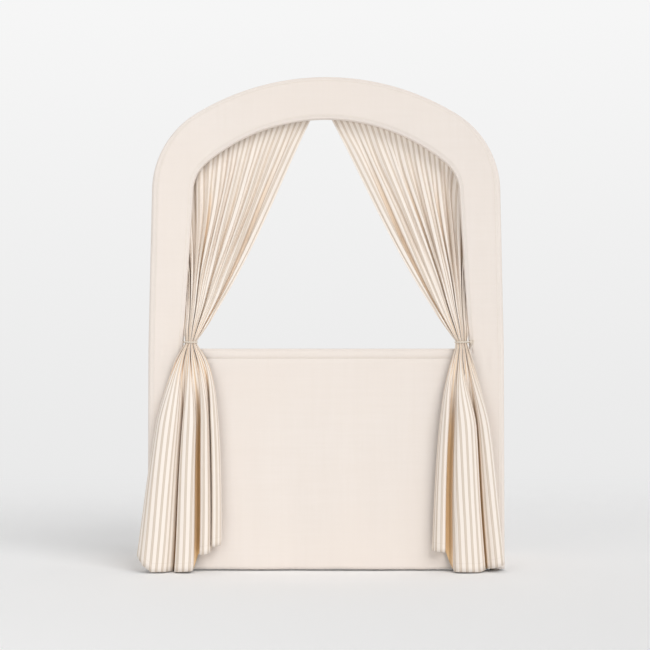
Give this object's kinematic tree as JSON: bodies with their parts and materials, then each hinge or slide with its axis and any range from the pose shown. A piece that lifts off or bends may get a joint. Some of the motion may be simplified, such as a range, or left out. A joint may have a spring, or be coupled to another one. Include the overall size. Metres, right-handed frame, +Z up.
{
  "type": "puppet theater stand",
  "caption": "Free-standing child's puppet theatre: canvas-covered tube frame with an arched stage opening, tied-back striped curtains, a closed front panel and folding side wings.",
  "frame": {"origin": "on the floor, under the middle of the whole stand with its wings square to the front", "axes": "+Z up; +X to the right as the audience sees it; the audience is on the -Y side, the puppeteer on the +Y side"},
  "size_m": [0.946, 0.4045, 1.27],
  "materials": {
    "tube_steel": "cream powder coat, satin",
    "moulded_plastic": "cream moulded plastic",
    "foot_rubber": "light taupe rubber",
    "screw_zinc": "zinc plated",
    "canvas": "unbleached cotton canvas",
    "curtain_ticking": "cotton with woven cream and taupe stripes",
    "header_tape": "woven cotton tape",
    "tie_cord": "twisted cotton cord"
  },
  "bodies": {
    "front": {"post_left": "tube_steel", "post_right": "tube_steel", "arch_tube_left": "tube_steel", "arch_tube_right": "tube_steel", "crown_coupler": "moulded_plastic", "counter_connector_left": "moulded_plastic", "counter_connector_right": "moulded_plastic", "counter_rail": "tube_steel", "floor_rail": "tube_steel", "inner_rail_left": "tube_steel", "inner_rail_right": "tube_steel", "inner_rail_coupler": "moulded_plastic", "arch_spacer_1_left": "moulded_plastic", "arch_spacer_1_right": "moulded_plastic", "arch_spacer_2_left": "moulded_plastic", "arch_spacer_2_right": "moulded_plastic", "arch_spacer_3_left": "moulded_plastic", "arch_spacer_3_right": "moulded_plastic", "front_foot_left": "foot_rubber", "front_foot_right": "foot_rubber", "hinge_clip_lower_left": "moulded_plastic", "hinge_clip_lower_right": "moulded_plastic", "clip_screw_lower_left": "screw_zinc", "clip_screw_lower_right": "screw_zinc", "hinge_clip_upper_left": "moulded_plastic", "hinge_clip_upper_right": "moulded_plastic", "clip_screw_upper_left": "screw_zinc", "clip_screw_upper_right": "screw_zinc", "stage_cover": "canvas", "header_tape_left": "header_tape", "header_tape_right": "header_tape", "curtain_left": "curtain_ticking", "curtain_right": "curtain_ticking", "tie_back_left": "tie_cord", "tie_back_right": "tie_cord"},
    "wing_left": {"wing_hinge_tube_left": "tube_steel", "wing_rear_tube_left": "tube_steel", "wing_top_rail_left": "tube_steel", "wing_floor_rail_left": "tube_steel", "wing_hinge_elbow_left": "moulded_plastic", "wing_rear_elbow_left": "moulded_plastic", "wing_hinge_foot_left": "foot_rubber", "wing_rear_foot_left": "foot_rubber", "wing_canvas_left": "canvas"},
    "wing_right": {"wing_hinge_tube_right": "tube_steel", "wing_rear_tube_right": "tube_steel", "wing_top_rail_right": "tube_steel", "wing_floor_rail_right": "tube_steel", "wing_hinge_elbow_right": "moulded_plastic", "wing_rear_elbow_right": "moulded_plastic", "wing_hinge_foot_right": "foot_rubber", "wing_rear_foot_right": "foot_rubber", "wing_canvas_right": "canvas"}
  },
  "joints": [
    {"name": "wing_left_hinge", "type": "hinge", "parent": "front", "child": "wing_left", "pos_m": [-0.4344, -0.1077, 0.28], "axis": [0, 0, 1], "range_deg": [-90, 90]},
    {"name": "wing_right_hinge", "type": "hinge", "parent": "front", "child": "wing_right", "pos_m": [0.4344, -0.1077, 0.28], "axis": [0, 0, 1], "range_deg": [-90, 90]}
  ]
}
